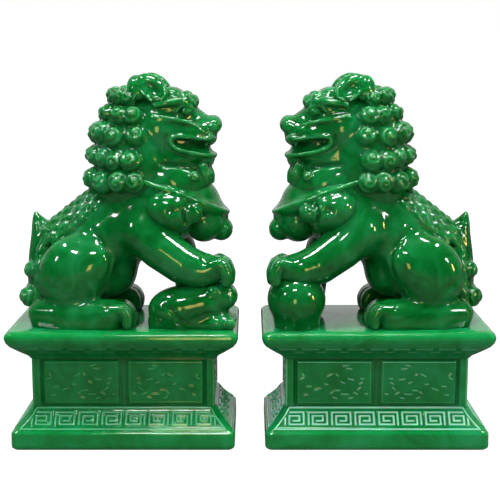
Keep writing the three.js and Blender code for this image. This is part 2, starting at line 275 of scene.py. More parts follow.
body = Clay((-48, -27.5, -0.6), (47, 27.5, 66), 0.55)
body.add(limb([(-22, 0, 9, 12), (-18, 0, 23, 15), (-6, 0, 36, 16.5), (6, 0, 45, 16.5), (14, 0, 55, 14)],
              wide=1.06), 6)
body.add(egg((17, 0, 45), (14.5, 15.5, 14)), 5)
body.add(egg((16, 0, 58), (14, 13, 12)), 5)
body.add(egg((-5.5, 0, 19.5), (9.5, 12, 11), pitch=-15), 4)
for side in (-1, 1):
    body.add(egg((9.5, side * 11.5, 42), (11.5, 8, 13), pitch=-25, yaw=side * 8), 5.0)
    # Thigh, knee, shank and the long hind foot, which meets the plinth without an undercut
    body.add(egg((-21, side * 13.5, 21.0), (14.4, 9.8, 16.0), pitch=-20, yaw=-side * 6), 4.8)
    body.add(egg((-12.5, side * 16.0, 24.5), (7.5, 6.5, 9.5), pitch=-30), 4.0)
    body.add(limb([(-34, side * 13.5, 5, 5.6), (-27, side * 15.5, 5.2, 5.8), (-10, side * 17, 5.6, 5.4)],
                  wide=1.1), 2.2)
    body.add(limb([(-33, side * 13.5, 1.6, 5.4), (-24, side * 15.5, 1.6, 6.2), (-6, side * 17, 1.6, 6.0)],
                  wide=1.1), 1.5)
    paw(body, (-3.8, side * 17, 5.6), 0.98)
    # Creases: over the foot, across the thigh and behind the belly
    stroke(body, flip([(-30, 20.5, 10.2, 0.5), (-20, 24.4, 11.0, 0.7), (-9, 23.4, 13.4, 0.4)], side), 1.6,
           True)
    for k in range(3):
        stroke(body, flip([(-33.5 + 2.8 * k, 20.6 + k, 21 - 2 * k, 0.4),
                           (-30 + 2.8 * k, 23.2 + 0.5 * k, 16 - k, 0.6), (-26 + 2.6 * k, 24.6, 12.2, 0.3)],
                          side), 2.0, True, 10)
    stroke(body, flip([(-13, 16.5, 40, 0.5), (-6.8, 18.0, 33, 0.8), (-4.8, 18.3, 25, 0.8),
                       (-8, 19.2, 15.5, 0.4)], side), 1.8, True)
# Near foreleg, raised
body.add(limb([(7, -13.5, 38.5, 9), (15, -15.5, 32, 8.8), (24, -16.8, 25.8, 8.3), (31, -17, 23.2, 7.4)]),
         3.2)
paw(body, (36.0, -16.8, 23.2), 1.06, 1.0)
# Far foreleg, standing
body.add(limb([(13, 12.5, 40, 8.5), (21, 14.5, 27, 7.2), (25, 15.2, 15, 6.3), (26, 15.2, 7, 6.2)]), 3.0)
paw(body, (30.5, 15.2, 5.6), 0.95)
# Spine locks: rows of little tear-shaped tufts that lie on each other like tiles
for row in range(8):
    t = row / 7
    x, z = -13.0 - 18.8 * t, 54.6 - 15.0 * t
    for column in range(-3, 4):
        if row % 2 and column == 3:
            continue
        off = 3.0 * (column + 0.5 * (row % 2))
        drop = 0.075 * off**2
        tuft = [(x + drop * 0.5, off, z - drop * 0.85, 2.1),
                (x - 1.8 + drop * 0.5, off * 1.06, z - 0.7 - drop, 2.1),
                (x - 3.7 + drop * 0.5, off * 1.12, z - 2.9 - drop, 1.0)]
        body.add(limb(curve(tuft, 6)), 0.5)
# Flame tail: a broad pointed blade with two rolled locks at each side of its root
body.add(limb(curve([(-33.5, 0, 3, 6.4), (-36, 0, 14, 6.2), (-36.6, 0, 25, 5.4), (-36.4, 0, 34, 4.6),
                     (-37.8, 0, 40, 2.8), (-39.0, 0, 44.0, 1.0)], 16), wide=1.25), 1.6)
body.add(limb(curve([(-34.0, 0, 26, 5.0), (-34.6, 0, 34, 4.2), (-36.0, 0, 39, 2.9), (-38.4, 0, 42.6, 1.0)],
                    10)), 0.8)
for side in (-1, 1):
    for height, size, back, out in ((21.0, 4.2, -38.9, 5.2), (10.2, 4.5, -40.4, 6.2)):
        body.add(snail((back, side * out, height), (-0.75, side * 0.65, 0.15), size, 2.4, 0.45, side), 1.0)
    for k in range(4):
        lock = [(-33.2, 5.0 + 1.7 * k, 34.5 - 5.4 * k, 2.5), (-35.4, 7.4 + 1.8 * k, 29 - 5.4 * k, 2.3),
                (-37.2, 7.8 + 1.6 * k, 24 - 5.4 * k, 1.0)]
        body.add(limb(curve(flip(lock, side), 7)), 0.7)
    stroke(body, flip([(-37.5, 2.6, 17, 0.5), (-39.2, 2.8, 27, 0.7), (-39.4, 1.6, 38, 0.4)], side), 0.9,
           True, 12)


def skin(clay):
    """The clay's surface as a closed mesh: one vertex in every grid cell that the surface crosses, at the
    mean of its edge crossings and then drawn onto the surface along the slope, and one quad round every
    grid edge that it crosses. The last array is how sharply it bulges there, in 1/mm."""
    value, step = clay.value, clay.step
    low = np.array([a[0] for a in clay.axes])
    value[[0, -1]] = np.maximum(value[[0, -1]], 0.4)
    value[:, [0, -1]] = np.maximum(value[:, [0, -1]], 0.4)
    value[:, :, [0, -1]] = np.maximum(value[:, :, [0, -1]], 0.4)
    inside = value < 0
    corners = [(i, j, k) for i in (0, 1) for j in (0, 1) for k in (0, 1)]
    shape = np.array(value.shape)
    total = sum(inside[i:shape[0] - 1 + i, j:shape[1] - 1 + j, k:shape[2] - 1 + k].astype(np.int8) for i, j,
                k in corners)
    cells = np.argwhere((total > 0) & (total < 8))
    number = np.full(shape - 1, -1, dtype=np.int64)
    number[tuple(cells.T)] = np.arange(len(cells))
    place, hits = np.zeros((len(cells), 3)), np.zeros(len(cells))
    for a in corners:
        for axis in range(3):
            if a[axis]:
                continue
            b = np.array(a)
            b[axis] = 1
            va = value[tuple((cells + a).T)]
            vb = value[tuple((cells + b).T)]
            cross = (va < 0) != (vb < 0)
            t = np.where(cross, va / np.where(cross, va - vb, 1), 0)
            point = np.array(a) + t[:, None] * (b - np.array(a))
            place += point * cross[:, None]
            hits += cross
    spots = cells + place / hits[:, None]

    def sample(p):
        i = np.clip(p.astype(int), 0, shape - 2)
        f = p - i
        got = 0
        for c in corners:
            weight = np.prod(np.where(c, f, 1 - f), axis=1)
            got = got + weight * value[tuple((i + c).T)]
        return got

    for _ in range(2):
        slope = np.stack([(sample(spots + e) - sample(spots - e)) / 1.0 for e in 0.5 * np.eye(3)], axis=1)
        move = sample(spots)[:, None] * slope / ((slope**2).sum(axis=1, keepdims=True) + 1e-6)
        spots -= np.clip(move, -0.4, 0.4)
    rise = sum(sample(spots + e) + sample(spots - e) for e in 2.0 * np.eye(3)) - 6 * sample(spots)
    quads = []
    for axis in range(3):
        u, v = [a for a in range(3) if a != axis]
        near = [slice(None)] * 3
        far = [slice(None)] * 3
        near[axis], far[axis] = slice(0, -1), slice(1, None)
        a, b = inside[tuple(near)], inside[tuple(far)]
        for one, turn in ((a & ~b, False), (~a & b, True)):
            edges = np.argwhere(one)
            edges = edges[(edges[:, u] > 0) & (edges[:, v] > 0)]
            eu, ev = np.zeros(3, int), np.zeros(3, int)
            eu[u] = ev[v] = 1
            ring = [edges - eu - ev, edges - ev, edges, edges - eu]
            face = np.stack([number[tuple(r.T)] for r in ring], axis=1)
            quads.append(face[:, ::-1] if turn != (axis == 1) else face)
    quads = np.vstack(quads)
    return low + spots * step, quads, rise / (2.0 * step) ** 2


def cast(name, verts, quads, edge, middle, facing, material, body_name, stands_for, slot="jade_resin"):
    """A mesh from points in mm, mirrored in X where the statue faces the other way, set on its plinth."""
    placed = (verts * (facing, 1, 1) + (middle, 0, 0)) * MM
    faces = quads if facing > 0 else quads[:, ::-1]
    mesh = bpy.data.meshes.new(name)
    mesh.vertices.add(len(placed))
    mesh.vertices.foreach_set("co", placed.astype(np.float32).ravel())
    mesh.loops.add(faces.size)
    mesh.loops.foreach_set("vertex_index", faces.astype(np.int32).ravel())
    mesh.polygons.add(len(faces))
    mesh.polygons.foreach_set("loop_start", np.arange(0, faces.size, faces.shape[1], dtype=np.int32))
    mesh.update(calc_edges=True)
    mesh.validate()
    mesh.shade_smooth()
    # 'edge' holds the bulge that the material turns into painted light on convex edges and painted shade in
    # creases.
    mesh.attributes.new("edge", "FLOAT", "POINT").data.foreach_set("value", edge.astype(np.float32))
    obj = bpy.data.objects.new(name, mesh)
    bpy.context.scene.collection.objects.link(obj)
    mesh.materials.append(material)
    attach(obj, body_name)
    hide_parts(*[f"{body_name}_{node}" for node in stands_for])
    return obj


def lean(verts):
    """The figure's own slight rake: it narrows by 3.5 % from the plinth to the ears, towards its front."""
    x, z = verts[:, 0], verts[:, 2]
    squeeze = 1 - 0.0035 - 0.031 * np.clip(z / 102, 0, 1)
    height = z * (1.016 - 0.000285 * z) + np.clip(z, 0, 1) * 0.3
    return np.column_stack([HALF_PITCH + (x - HALF_PITCH) * squeeze, verts[:, 1], height + TOP])


body_skin = skin(body)
for who, middle, facing in LIONS:
    cast(f"{who}_body", lean(body_skin[0]), *body_skin[1:], middle, facing, JADE, who,
         ["torso", "near_hind_leg", "far_hind_leg", "raised_foreleg", "standing_foreleg", "tail",
          "back_ridge"])


# ---- Head and mane ---------------------------------------------------------------------------------------
# A broad skull with bossed brows, a square muzzle and an open mouth with a rolled lip, leaf-shaped ears
# laid back, and a mane of snail-shell curls in rows round the back. Part of the same casting.

head = Clay((-22, -23.5, 49), (43, 23.5, 105), 0.42)
head.add(egg((13, 0, 81), (15.5, 14.5, 15.5)), 2)
head.add(egg((20.5, 0, 89), (8.5, 12, 7.6), pitch=-12), 3)
head.add(egg((16, 0, 66), (13, 12.8, 15)), 4)
head.add(egg((20.5, 0, 58), (15.5, 14.2, 11), pitch=-10), 4)
# Muzzle, bridge and nose
head.add(egg((25, 0, 79.3), (12.5, 11.6, 6.2), pitch=-3), 2.5)
head.add(limb([(26, 0, 86, 4.6), (33, 0, 81.5, 4.2)], wide=1.5), 2.5)
head.add(egg((36.6, 0, 82.0), (3.6, 6.6, 3.9), pitch=10), 1.3)
head.add(egg((34.8, 0, 76.4), (3.2, 9.0, 3.4)), 1.5)
for side in (-1, 1):
    head.add(egg((35.6, side * 4.2, 80.6), (3.4, 2.9, 2.9)), 1.0)
    head.cut(egg((38.6, side * 3.2, 80.9), (1.6, 1.3, 1.0), yaw=side * 30), 0.5)
# Mouth: open at both sides and grooved across the front, with the tongue lying in it
mouth_line = [(21.8, 0, 75.0, 1.0), (26, 0, 74.2, 1.7), (31, 0, 73.6, 2.1), (37, 0, 73.0, 2.3)]


def slot_through(points, inner, outer):
    """A slot seen from the side: the limb's outline in X and Z, between two distances from the middle."""
    form, low, high = limb([(p[0], 0, p[2], p[3]) for p in points])

    def cut(x, y, z):
        flat = form(x, np.zeros(1, np.float32), z)
        return np.maximum(flat, np.maximum(inner - np.abs(y), np.abs(y) - outer))

    return cut, (low[0], -outer, low[2]), (high[0], outer, high[2])


head.add(egg((22, 0, 69.2), (14, 11.5, 5.0), pitch=1), 2.0)
head.add(egg((33.2, 0, 67.6), (3.9, 7.4, 4.3)), 2.0)
head.cut(slot_through(mouth_line, 8.0, 16.0), 1.2)
stroke(head, [(34.4, -8.6, 73.3, 1.0), (37.4, -5, 73.3, 0.9), (38.4, 0, 73.3, 0.9), (37.4, 5, 73.3, 0.9),
              (34.4, 8.6, 73.3, 1.0)], 1.0, True, 24)
head.add(limb([(24, 0, 72.2, 2.6), (33.4, 0, 71.0, 1.9)], wide=1.9), 0.8)
for side in (-1, 1):
    # Lip roll: along the upper lip, round the corner of the mouth and back along the lower lip
    stroke(head, flip([(36.8, 4.0, 75.4, 0.7), (33.2, 9.2, 76.2, 0.7), (27, 11.2, 77.1, 0.75),
                       (22.0, 12.3, 77.6, 0.8), (19.4, 12.7, 76.5, 0.8), (19.6, 12.6, 74.2, 0.8),
                       (22, 12.0, 72.2, 0.8), (27, 10.7, 70.8, 0.8), (33, 8.6, 69.6, 0.8),
                       (36.4, 4.2, 69.2, 0.8), (37.0, 0, 69.1, 0.8)], side), 1.3, False, 40)
    # A second fold outside the lip, then the jaw's edge
    stroke(head, flip([(17.6, 13.2, 78.2, 0.4), (16.6, 13.2, 74.6, 0.5), (18.8, 12.9, 71.0, 0.5),
                       (26, 11.2, 69.0, 0.4), (33, 8.6, 67.6, 0.3)], side), 0.7, True, 26)
    stroke(head, flip([(11.5, 13.2, 66.2, 0.5), (19, 12.4, 65.8, 0.8), (25, 10.6, 64.8, 0.8),
                       (30.5, 7.6, 63.2, 0.5)], side), 1.4, True, 20)
    # Fangs
    head.add(limb([(33.4, side * 7.0, 75.4, 1.1), (33.7, side * 7.1, 73.2, 0.4)]), 0.4)
    # Cheek fold from under the eye to the nose wing
    stroke(head, flip([(12.5, 13.4, 85.8, 0.7), (18, 13.0, 84.8, 0.9), (24, 11.8, 83.9, 0.9),
                       (29, 9.6, 82.2, 0.9), (32.0, 8.2, 79.6, 0.7)], side), 1.2, False, 24)
    stroke(head, flip([(12, 13.8, 88.0, 0.5), (17, 13.4, 87.4, 0.6), (21.5, 12.4, 86.8, 0.4)], side), 1.0,
           True, 16)
    # Eye: a low bead in soft lids
    head.cut(egg((25.6, side * 11.6, 88.2), (3.4, 1.9, 2.2)), 1.4)
    head.add(egg((25.6, side * 10.2, 88.0), (2.3, 1.8, 1.8)), 0.5)
    stroke(head, flip([(21.4, 12.2, 87.8, 0.4), (23.6, 12.0, 89.9, 0.5), (27.0, 10.8, 89.9, 0.5),
                       (29.0, 9.0, 88.2, 0.4)], side), 0.9, False, 18)
    # Brow: a thick soft roll under the ear, a curl over the eye, and two bosses on the forehead
    stroke(head, flip([(13.0, 13.2, 90.6, 1.2), (18.5, 12.8, 91.6, 1.6), (24.0, 10.8, 92.0, 1.9),
                       (27.8, 7.4, 91.0, 1.8)], side), 1.5, False, 20)
    head.add(snail((24.8, side * 8.8, 93.4), (0.35, side * 0.85, 0.35), 2.7, 2.0, 0.3, side), 0.8)
    head.add(egg((19.5, side * 5.0, 94.8), (5.0, 4.0, 2.8), pitch=-14), 1.2)
    head.add(egg((27.4, side * 3.4, 91.6), (3.0, 3.2, 3.0)), 1.2)
# Beard: a fringe of small locks under the chin
for k in (-2, -1, 0, 1, 2):
    tuft = [(33.0 - 0.5 * abs(k), 3.3 * k, 64.6, 2.1), (35.0 - 0.9 * abs(k), 3.6 * k, 61.2, 2.0),
            (36.0 - 1.2 * abs(k), 3.5 * k, 58.0, 1.1)]
    head.add(limb(curve(tuft, 7)), 0.5)
for side in (-1, 1):
    head.add(snail((28.8, side * 10.9, 60.8), (0.4, side * 0.9, 0.1), 2.4, 1.8, 0.35, side), 0.9)
# Mane: rows of curls half sunk in the hair's mass, from the lowest up. Each row gives its height, its reach
# to the back and to the side, the curls' radius, and how far it sags towards the face, all in mm.
MANE_MIDDLE, MANE_FAN = 3.0, 212  # mm from the statue's middle, degrees round the back
head.add(egg((MANE_MIDDLE, 0, 65), (17.2, 17.4, 32.5)), 1.5)
MANE_ROWS = ((59.2, 17.5, 17.8, 4.6, 0.0), (69.4, 16.9, 17.4, 4.5, 2.0), (78.8, 15.2, 15.8, 4.4, 1.2),
             (86.9, 12.1, 13.2, 4.2, 0.8), (94.0, 8.3, 10.2, 3.9, 0.4))
for row, (up, along, across, size, sag) in enumerate(MANE_ROWS):
    count = round(math.radians(MANE_FAN) * across / (7.5 - 0.25 * row))
    for k in range(count):
        turn = math.radians(MANE_FAN * ((k + 0.5 + 0.2 * math.sin(5.0 * k + 2.0 * row)) / count - 0.5))
        out = (-math.cos(turn), math.sin(turn), 0.15 + 0.12 * row + 0.4 * math.sin(4.0 * k + row))
        at = (MANE_MIDDLE - along * math.cos(turn), across * math.sin(turn),
              up - sag * (1 - math.cos(turn)) + 0.45 * math.sin(9.0 * k + row))
        size_here = size + 0.35 * math.sin(7.0 * k + 3.0 * row)
        hand = 1 if k * 2 > count else -1
        head.add(snail(at, out, size_here, 2.6, 0.5, hand, 0.37 * k + 0.21 * row), 0.8)
for side in (-1, 1):
    # Ear: a leaf lying back along the skull over a second one, with a fine raised rim
    head.add(egg((5.2, side * 10.0, 97.6), (4.4, 3.2, 5.6), pitch=14, roll=side * 20), 0.8)
    head.add(egg((11.4, side * 10.8, 97.4), (7.6, 3.2, 5.2), pitch=-40, yaw=side * 5, roll=side * 16), 0.6)
    head.cut(egg((11.6, side * 14.4, 97.0), (4.8, 1.9, 2.9), pitch=-40, yaw=side * 5, roll=side * 16), 0.7)
    stroke(head, flip([(6.4, 9.4, 102.4, 0.4), (10.2, 9.6, 102.9, 0.55), (14.0, 11.0, 100.4, 0.6),
                       (16.9, 12.8, 96.6, 0.6), (16.4, 13.8, 93.6, 0.55), (13.8, 14.0, 92.6, 0.4)], side),
           0.4, False, 26)
    stroke(head, flip([(3.8, 13.6, 93.0, 0.5), (5.8, 12.8, 96.9, 0.6), (8.4, 13.8, 94.8, 0.6),
                       (11.4, 14.2, 92.4, 0.5)], side), 0.5, False, 18)

head_skin = skin(head)
for who, middle, facing in LIONS:
    cast(f"{who}_head_and_mane", lean(head_skin[0]), *head_skin[1:], middle, facing, JADE, who,
         ["head", "lower_jaw", "near_ear", "far_ear", "mane"])


# ---- Scarf and bell --------------------------------------------------------------------------------------
# A ribbon collar tied round the neck over the chest, puffed into a soft knot at the side, with a fold down
# the breast and a round bell hung from it. Part of the same casting.

scarf = Clay((-2, -24.5, 28), (47, 24.5, 68), 0.42)
scarf.add(egg((21.8, 0, 53.0), (22.0, 17.6, 6.0), pitch=-23), 1.5)
scarf.add(egg((27.5, 0, 51.0), (12.4, 12.0, 9.5), pitch=-25), 2.0)
scarf.cut(egg((17.5, 0, 64.4), (17.5, 15.0, 9.5), pitch=-23), 1.2)
hem = [(1.5, 13.5, 61.4, 0.9), (8, 17.0, 59.4, 1.0), (19, 18.4, 55.9, 1.0), (31, 14.8, 50.8, 1.0),
       (39, 8.4, 46.9, 1.0)]
stroke(scarf, flip(hem, -1) + [(42.4, 0, 44.9, 1.1)] + hem[::-1], 0.8, False, 60)
for side in (-1, 1):
    # The puffed knot: one full lobe and a small one, pinched at the seam between them
    scarf.add(egg((18.6, side * 14.0, 47.4), (11.2, 9.0, 8.6), pitch=-20, yaw=-side * 6), 1.6)
    scarf.add(egg((28.2, side * 14.2, 46.4), (4.6, 5.0, 4.6), pitch=-20), 0.9)
    scarf.cut(egg((21.4, side * 23.2, 48.2), (2.2, 1.6, 1.8)), 1.8)
    stroke(scarf, flip([(26.4, 18.4, 51.2, 0.4), (24.8, 20.4, 47.0, 0.7), (25.4, 18.6, 42.6, 0.5)], side),
           1.4, True, 12)
# The fold down the breast, and the bell
scarf.add(egg((33.0, 0, 41.6), (8.6, 11.2, 9.6), pitch=-20), 1.6)
for y in (-6.0, 0.0, 6.0):
    stroke(scarf, [(39.6 - 0.03 * y * y, y, 44.4, 0.4), (40.6 - 0.05 * y * y, 0.9 * y, 41.0, 0.6),
                   (38.0 - 0.05 * y * y, 0.7 * y, 36.6, 0.3)], 1.4, True, 12)
scarf.add(egg((39.8, 0, 37.6), (5.0, 5.4, 5.0)), 0.9)
scarf.add(limb([(41.3, 0, 43.2, 1.5), (41.4, 0, 41.4, 1.4)], wide=1.6), 0.6)
stroke(scarf, [(44.2, -3.6, 37.2, 0.4), (45.1, 0, 37.0, 0.5), (44.2, 3.6, 37.2, 0.4)], 0.4, True, 10)

scarf_skin = skin(scarf)
for who, middle, facing in LIONS:
    cast(f"{who}_scarf_and_bell", lean(scarf_skin[0]), *scarf_skin[1:], middle, facing, JADE, who,
         ["scarf", "bell"])


# ---- Cub and ball ----------------------------------------------------------------------------------------
# Under the left lion's paw a cub rolls on the ground with its head to the front; under the right lion's paw
# lies a ball. Each is part of its lion's casting.

HELD_Y = -15.5  # mm, the cub's middle from the statue's own

cub = Clay((6, -27, -0.6), (48.5, -3, 24), 0.42)
cub.add(egg((23.0, HELD_Y, 7.4), (12.9, 8.8, 8.8), pitch=5), 2)
cub.add(egg((33.0, HELD_Y, 9.6), (10.0, 8.4, 8.2)), 3)
cub.add(egg((40.4, HELD_Y, 12.2), (6.6, 7.2, 6.0)), 1.6)
cub.add(egg((39.2, HELD_Y, 2.4), (7.4, 8.0, 3.8)), 1.2)
cub.add(limb([(15, HELD_Y, 1.5, 5.0), (38, HELD_Y, 1.5, 6.6)], wide=1.2), 1.5)
for side in (-1, 1):
    y = HELD_Y + side * 6.4
    # Its hind leg is folded against the flank, and the forelegs are stretched out under the head
    stroke(cub, [(13.4, y + side * 0.9, 12.2, 0.4), (18.5, y + side * 2.2, 9.2, 0.7),
                 (24.5, y + side * 2.0, 3.4, 0.4)], 1.6, True, 14)
    stroke(cub, [(28.5, y + side * 1.6, 4.0, 0.3), (33.5, y + side * 1.4, 6.2, 0.4), (41.5, y, 6.2, 0.4)],
           1.2, True, 14)
    cub.add(egg((43.6, y - side * 3.0, 14.8), (1.6, 1.5, 1.2)), 1.4)
    cub.add(egg((37.0, y - side * 0.6, 15.0), (3.0, 1.8, 2.4), yaw=side * 20), 1.4)
    for k in (-1, 0, 1):
        cub.add(egg((44.0, y - side * 1.2 + 1.9 * k, 2.0), (2.2, 1.2, 2.0)), 0.9)
stroke(cub, [(45.0, HELD_Y - 3.7, 9.6, 0.4), (46.8, HELD_Y, 9.0, 0.5), (45.0, HELD_Y + 3.7, 9.6, 0.4)], 0.6,
       True, 10)

cub_skin = skin(cub)
cast("cub_lion_cub_figure", lean(cub_skin[0]), *cub_skin[1:], LIONS[0][1], 1, JADE, "cub_lion", ["cub"])

ball = Clay((18, -29, -0.6), (48, -1, 25), 0.42)
ball.add(egg((33.6, -15.6, 10.9), (12.0, 12.0, 11.6)), 1)
ball.add(limb([(32.2, -15.6, 0.8, 8.0), (34.8, -15.6, 0.8, 8.0)]), 3.0)

ball_skin = skin(ball)
cast("ball_lion_ball_figure", lean(ball_skin[0]), *ball_skin[1:], LIONS[1][1], -1, JADE, "ball_lion",
     ["ball"])


# ---- Plinth ----------------------------------------------------------------------------------------------
# The foot spreads under a slope that carries a square key fret, the waist has nicked panels in frames, and
# the cornice swells out over rows of lotus petals. All of it is cast in one with the lion.

def ring(half_x, half_y, corner, along, across, arc):
    """Points and outward normals round a rounded rectangle: even steps on each side and arcs at the
    corners, going anticlockwise from the start of the -Y side. The third array names the side, the fourth
    is the distance along it from its middle."""
    points, normals, sides, offsets = [], [], [], []
    for side in range(4):
        turn = side * math.pi / 2
        reach, depth = (half_x, half_y) if side % 2 == 0 else (half_y, half_x)
        steps = along if side % 2 == 0 else across
        t = np.linspace(-(reach - corner), reach - corner, steps)
        local = np.column_stack([t, np.full(steps, -depth)])
        normal = np.tile((0.0, -1.0), (steps, 1))
        a = np.linspace(0, math.pi / 2, arc + 2)[1:-1]
        bend = np.column_stack([reach - corner + corner * np.sin(a), -depth + corner - corner * np.cos(a)])
        local = np.vstack([local, bend])
        normal = np.vstack([normal, np.column_stack([np.sin(a), -np.cos(a)])])
        spin = np.array([[math.cos(turn), -math.sin(turn)], [math.sin(turn), math.cos(turn)]])
        points.append(local @ spin.T)
        normals.append(normal @ spin.T)
        sides.append(np.full(len(local), side))
        offsets.append(np.concatenate([t, np.full(arc, 1e3)]))
    return np.vstack(points), np.vstack(normals), np.concatenate(sides), np.concatenate(offsets)


def moulding(profile, half, corner, steps, relief, level=0.35, ground=0.0, full=0.5):
    """A moulding swept round a plinth: profile gives (out, z) in mm, half the lengths that out is added to.
    relief(offset, run, side, reach) raises it along its own slope's normal. What stands above ground gets a
    painted highlight, fully at full mm over it, and what lies below gets painted shade."""
    profile = np.array(profile, float)
    run = np.concatenate([[0], np.cumsum(np.linalg.norm(np.diff(profile, axis=0), axis=1))])
    fine = np.linspace(0, run[-1], max(2, int(run[-1] / level)))
    fine = np.unique(np.concatenate([fine, run]))
    out, z = np.interp(fine, run, profile[:, 0]), np.interp(fine, run, profile[:, 1])
    tangent = np.gradient(np.column_stack([out, z]), fine, axis=0)
    tangent /= np.linalg.norm(tangent, axis=1, keepdims=True)
    rows, edges = [], []
    for o, height, s, (dx, dz) in zip(out, z, fine, tangent):
        reach = (half[0] + o, half[1] + o)
        points, normals, side, offset = ring(*reach, corner, *steps)
        lift = relief(offset, s, side, np.where(side % 2 == 0, reach[0], reach[1]))
        flat = points + normals * (lift * dz)[:, None]
        rows.append(np.column_stack([flat, height - lift * dx]))
        # Painted highlight on relief raised over ground, and painted shade on relief sunk below it.
        over = lift - ground
        thin = PAINTED_LIGHT_FROM + (PAINTED_LIGHT_FULL - PAINTED_LIGHT_FROM) * np.clip(over / full, 0, 1)
        edges.append(np.where(over > 0, thin, 2.0 * over))
    grid = np.array(rows)
    count, around = grid.shape[:2]
    index = np.arange(count * around).reshape(count, around)
    a, b = index[:-1], np.roll(index[:-1], -1, axis=1)
    c, d = np.roll(index[1:], -1, axis=1), index[1:]
    quads = np.stack([a, b, c, d], axis=-1).reshape(-1, 4)
    return grid.reshape(-1, 3), quads, index, np.concatenate(edges)


def closed(verts, quads, index, edge):
    """Both ends of the moulding filled by a fan of triangles round a vertex in the middle."""
    base = len(verts)
    middle = [verts[index[0]].mean(axis=0), verts[index[-1]].mean(axis=0)]
    verts = np.vstack([verts, middle])
    low, high = index[0], index[-1]
    fans = [(base, b, a) for a, b in zip(low, np.roll(low, -1))]
    fans += [(base + 1, a, b) for a, b in zip(high, np.roll(high, -1))]
    return verts, quads, np.array(fans), np.append(edge, (0, 0))


def plinth_piece(name, who, made, middle, facing, stands_for, material=PLINTH_JADE):
    """The closed moulding as an object of its own. The left statue's raised relief gets a weaker painted
    highlight.
    """
    verts, quads, fans, edge = made
    # Painted highlight: the left statue's raised relief keeps only 35 % of it.
    highlight_share = 0.35 if facing > 0 else 1.0
    edge = np.where(edge > PAINTED_LIGHT_FROM, PAINTED_LIGHT_FROM + (edge - PAINTED_LIGHT_FROM) * highlight_share, edge)
    placed = (verts * (facing, 1, 1) + (middle, 0, 0)) * MM
    turn = slice(None) if facing > 0 else slice(None, None, -1)
    faces = quads[:, turn].tolist() + fans[:, turn].tolist()
    mesh = bpy.data.meshes.new(name)
    mesh.from_pydata(placed.tolist(), [], faces)
    mesh.validate()
    mesh.shade_smooth()
    mesh.attributes.new("edge", "FLOAT", "POINT").data.foreach_set("value", edge.astype(np.float32))
    mesh.materials.append(material)
    obj = bpy.data.objects.new(name, mesh)
    bpy.context.scene.collection.objects.link(obj)
    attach(obj, who)
    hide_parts(f"{who}_{stands_for}")
    return obj


def near_line(s, v, points):
    """Distance in the plane from every (s, v) to a line of straight strokes."""
    best = np.full(np.broadcast(s, v).shape, 99.0)
    for (x0, y0), (x1, y1) in zip(points[:-1], points[1:]):
        dx, dy = x1 - x0, y1 - y0
        t = np.clip(((s - x0) * dx + (v - y0) * dy) / (dx * dx + dy * dy), 0, 1)
        best = np.minimum(best, np.hypot(s - x0 - t * dx, v - y0 - t * dy))
    return best


def ridge(distance, half_width, edge=0.35):
    """A raised line with soft shoulders: 1 within half_width of its middle, falling to 0 over edge."""
    t = np.clip((half_width + edge - distance) / edge, 0, 1)
    return t * t * (3 - 2 * t)


DADO_HALF = (37.6, 19.5)
SLOPE_START, SLOPE = 8.3, 12.1  # run along the profile where the slope starts, and its length
KEY = [(-3.7, -2.7), (-3.7, 2.7), (3.6, 2.7), (3.6, -2.7), (-2.1, -2.7), (-2.1, 1.1), (1.9, 1.1),
       (1.9, -1.1), (-0.5, -1.1)]


def fret(offset, run, side, reach):
    """The key fret on the slope: square spirals in even bays, turned over past the middle, inside a raised
    line that runs along the slope's edges and its mitres; on the corners nothing."""
    v = run - SLOPE_START - SLOPE / 2
    level = np.where(np.abs(offset) < 200, 1.0, 0.0)
    wide = np.where(side % 2 == 0, 77.0, 42.0)
    bay = wide / np.where(side % 2 == 0, 8, 4)
    place = offset + wide / 2
    s = (place - (np.floor(place / bay) + 0.5) * bay) * 9.2 / bay
    s = np.where(offset < 0, s, -s)
    mitre = reach - np.abs(offset)
    keys = ridge(near_line(s, np.full_like(s, v * 1.0), KEY),
                 0.18) * (np.abs(offset) < wide / 2) * (mitre > 3.2)
    lines = np.maximum(ridge(abs(v - 4.7), 0.2), ridge(abs(v + 4.9), 0.12)) * (mitre > 2.2)
    lines = np.maximum(lines, ridge(np.abs(mitre - 2.2), 0.2) * (abs(v + 0.1) < 4.9))
    return 0.55 * np.maximum(keys, lines) * level


foot_profile = [(7.4, 0.8), (8.2, 1.6), (8.4, 2.6), (8.3, 7.7), (7.9, 8.3), (5.0, 11.0), (2.4, 13.9),
                (0.9, 16.3), (0.4, 17.5)]
foot_made = closed(*moulding(foot_profile, (37.4, 17.8), 2.2, (300, 176, 5), fret, 0.3))
# The foot takes the copy of the plinth resin that is painted lighter.
for who, middle, facing in STATUES:
    plinth_piece(f"{who}_foot", who, foot_made, middle, facing, "plinth_foot", LIT_PLINTH_JADE)

PANEL_MARKS = rng.uniform((-14, -7.5, -0.9, 0.8), (14, 7.5, 0.9, 2.8), (22, 4))


